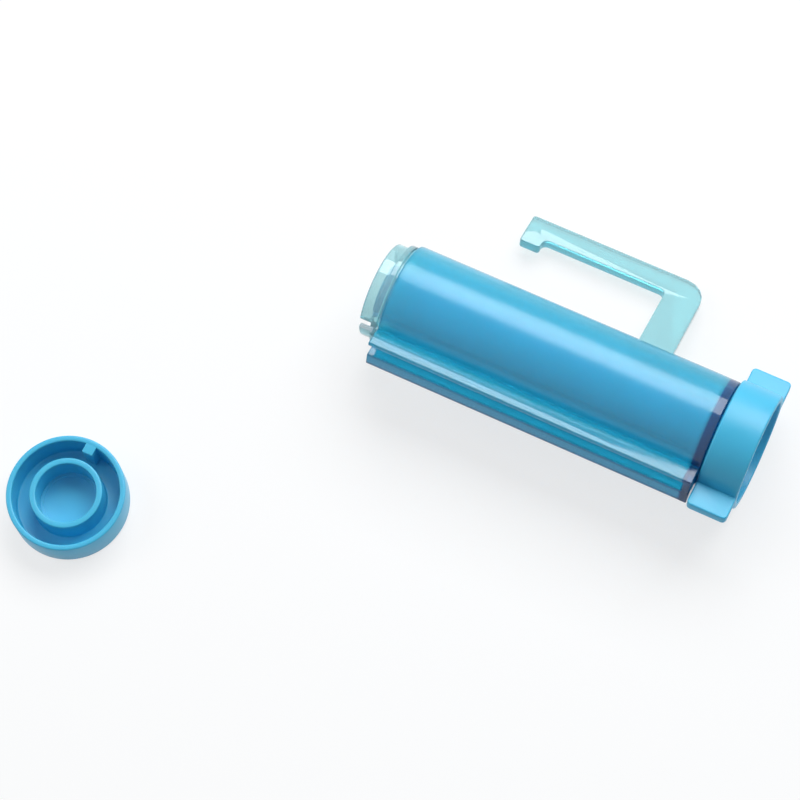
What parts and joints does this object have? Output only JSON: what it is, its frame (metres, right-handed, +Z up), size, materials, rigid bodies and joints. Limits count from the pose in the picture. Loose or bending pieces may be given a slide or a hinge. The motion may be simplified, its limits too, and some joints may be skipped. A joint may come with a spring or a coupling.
{
  "type": "toothpaste squeezer",
  "caption": "Tinted tube housing with a slot and a flat hook, a winged winding key with a split rod, and a round end cap lying beside it.",
  "frame": {"origin": "on the table, below the middle of the part's box as seen from above", "axes": "+X along the winding axis towards the knob, +Y to the hook's side, +Z up from the table"},
  "size_m": [0.1488, 0.1196, 0.0268],
  "materials": {
    "tinted_plastic": "see-through blue, frosted on the tube and polished on the spigot, the lips and the hook",
    "blue_plastic": "opaque sky blue, satin"
  },
  "bodies": {
    "housing_body": {"housing": "tinted_plastic", "end_cap": "blue_plastic"},
    "key_body": {"winding_key": "blue_plastic"}
  },
  "joints": [
    {"name": "key_turn", "type": "hinge", "parent": "housing_body", "child": "key_body", "pos_m": [0.06495, 0.0247, 0.0134], "axis": [1, 0, 0], "continuous": true}
  ]
}
